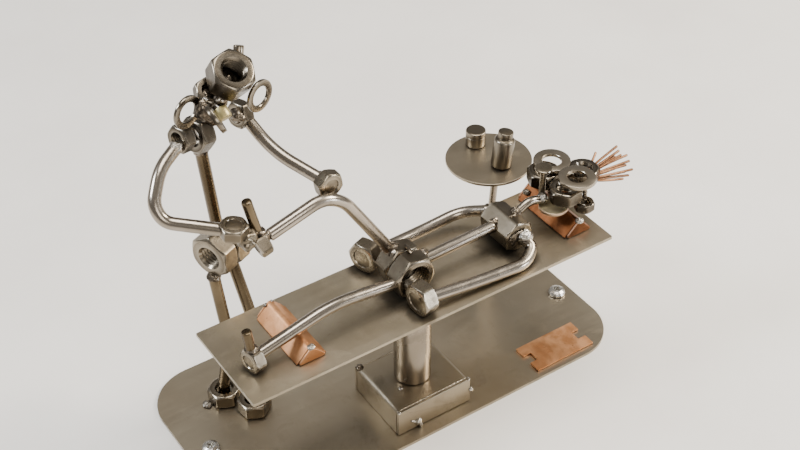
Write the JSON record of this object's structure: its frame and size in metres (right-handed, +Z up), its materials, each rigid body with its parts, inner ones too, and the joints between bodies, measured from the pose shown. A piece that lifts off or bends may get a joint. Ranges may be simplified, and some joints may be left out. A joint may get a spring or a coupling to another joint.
{
  "type": "welded nut figure sculpture",
  "caption": "Welded steel desk sculpture: a nut-and-rod therapist standing at a treatment table lifts the leg of a patient lying on it, on a rounded base plate.",
  "frame": {"origin": "centre of the base plate's underside", "axes": "+X along the treatment table towards the patient's head, +Y to the back where the therapist stands, +Z up"},
  "size_m": [0.2115, 0.0926, 0.1749],
  "materials": {
    "copper": "satin copper sheet, brushed and slightly tarnished",
    "nut_steel": "satin raw steel with brown heat tint near the welds",
    "rod_steel": "polished raw steel rod with brown heat tint",
    "screw_steel": "bright zinc-plated steel",
    "sheet_steel": "satin raw sheet steel with mill marks"
  },
  "bodies": {
    "root": {"balm_jar": "nut_steel", "base_plate": "sheet_steel", "base_screw_left": "screw_steel", "base_screw_right": "screw_steel", "knee_roll": "copper", "name_plate": "copper", "oil_bottle": "rod_steel", "patient_cheek_nut_far": "nut_steel", "patient_cheek_nut_near": "nut_steel", "patient_chest_nut": "nut_steel", "patient_crown_nut": "nut_steel", "patient_far_arm": "rod_steel", "patient_far_hand_nut": "nut_steel", "patient_hair_tuft": "copper", "patient_hip_nut_far": "nut_steel", "patient_hip_nut_near": "nut_steel", "patient_jaw_disc": "sheet_steel", "patient_lens_far": "sheet_steel", "patient_lens_near": "sheet_steel", "patient_near_arm": "rod_steel", "patient_near_hand_nut": "nut_steel", "patient_neck_rod": "rod_steel", "patient_nose_nail": "nut_steel", "patient_raised_foot_nut": "nut_steel", "patient_raised_leg": "rod_steel", "patient_raised_toe_rod": "rod_steel", "patient_straight_foot_nut": "nut_steel", "patient_straight_leg": "rod_steel", "patient_straight_toe_rod": "rod_steel", "patient_temple_nut": "nut_steel", "patient_torso_rod": "rod_steel", "pedestal_back_plate": "sheet_steel", "pedestal_channel": "sheet_steel", "pedestal_front_plate": "sheet_steel", "pedestal_tube": "rod_steel", "pillow": "copper", "table_top": "sheet_steel", "therapist_arm_left": "rod_steel", "therapist_arm_right": "rod_steel", "therapist_cheek_nut": "nut_steel", "therapist_chest_nut": "nut_steel", "therapist_foot_nut_left": "nut_steel", "therapist_foot_nut_right": "nut_steel", "therapist_hand_nut_left": "nut_steel", "therapist_hand_nut_right": "nut_steel", "therapist_head_nut": "nut_steel", "therapist_hip_nut_left": "nut_steel", "therapist_hip_nut_right": "nut_steel", "therapist_jaw_disc": "sheet_steel", "therapist_leg_left": "rod_steel", "therapist_leg_right": "rod_steel", "therapist_lens_left": "sheet_steel", "therapist_lens_right": "sheet_steel", "therapist_nose_pin": "copper", "therapist_shoulder_nut_left": "nut_steel", "therapist_shoulder_nut_right": "nut_steel", "therapist_top_stub": "rod_steel", "therapist_torso_rod": "rod_steel", "tray_disc": "sheet_steel", "tray_stem": "rod_steel"}
  },
  "joints": []
}
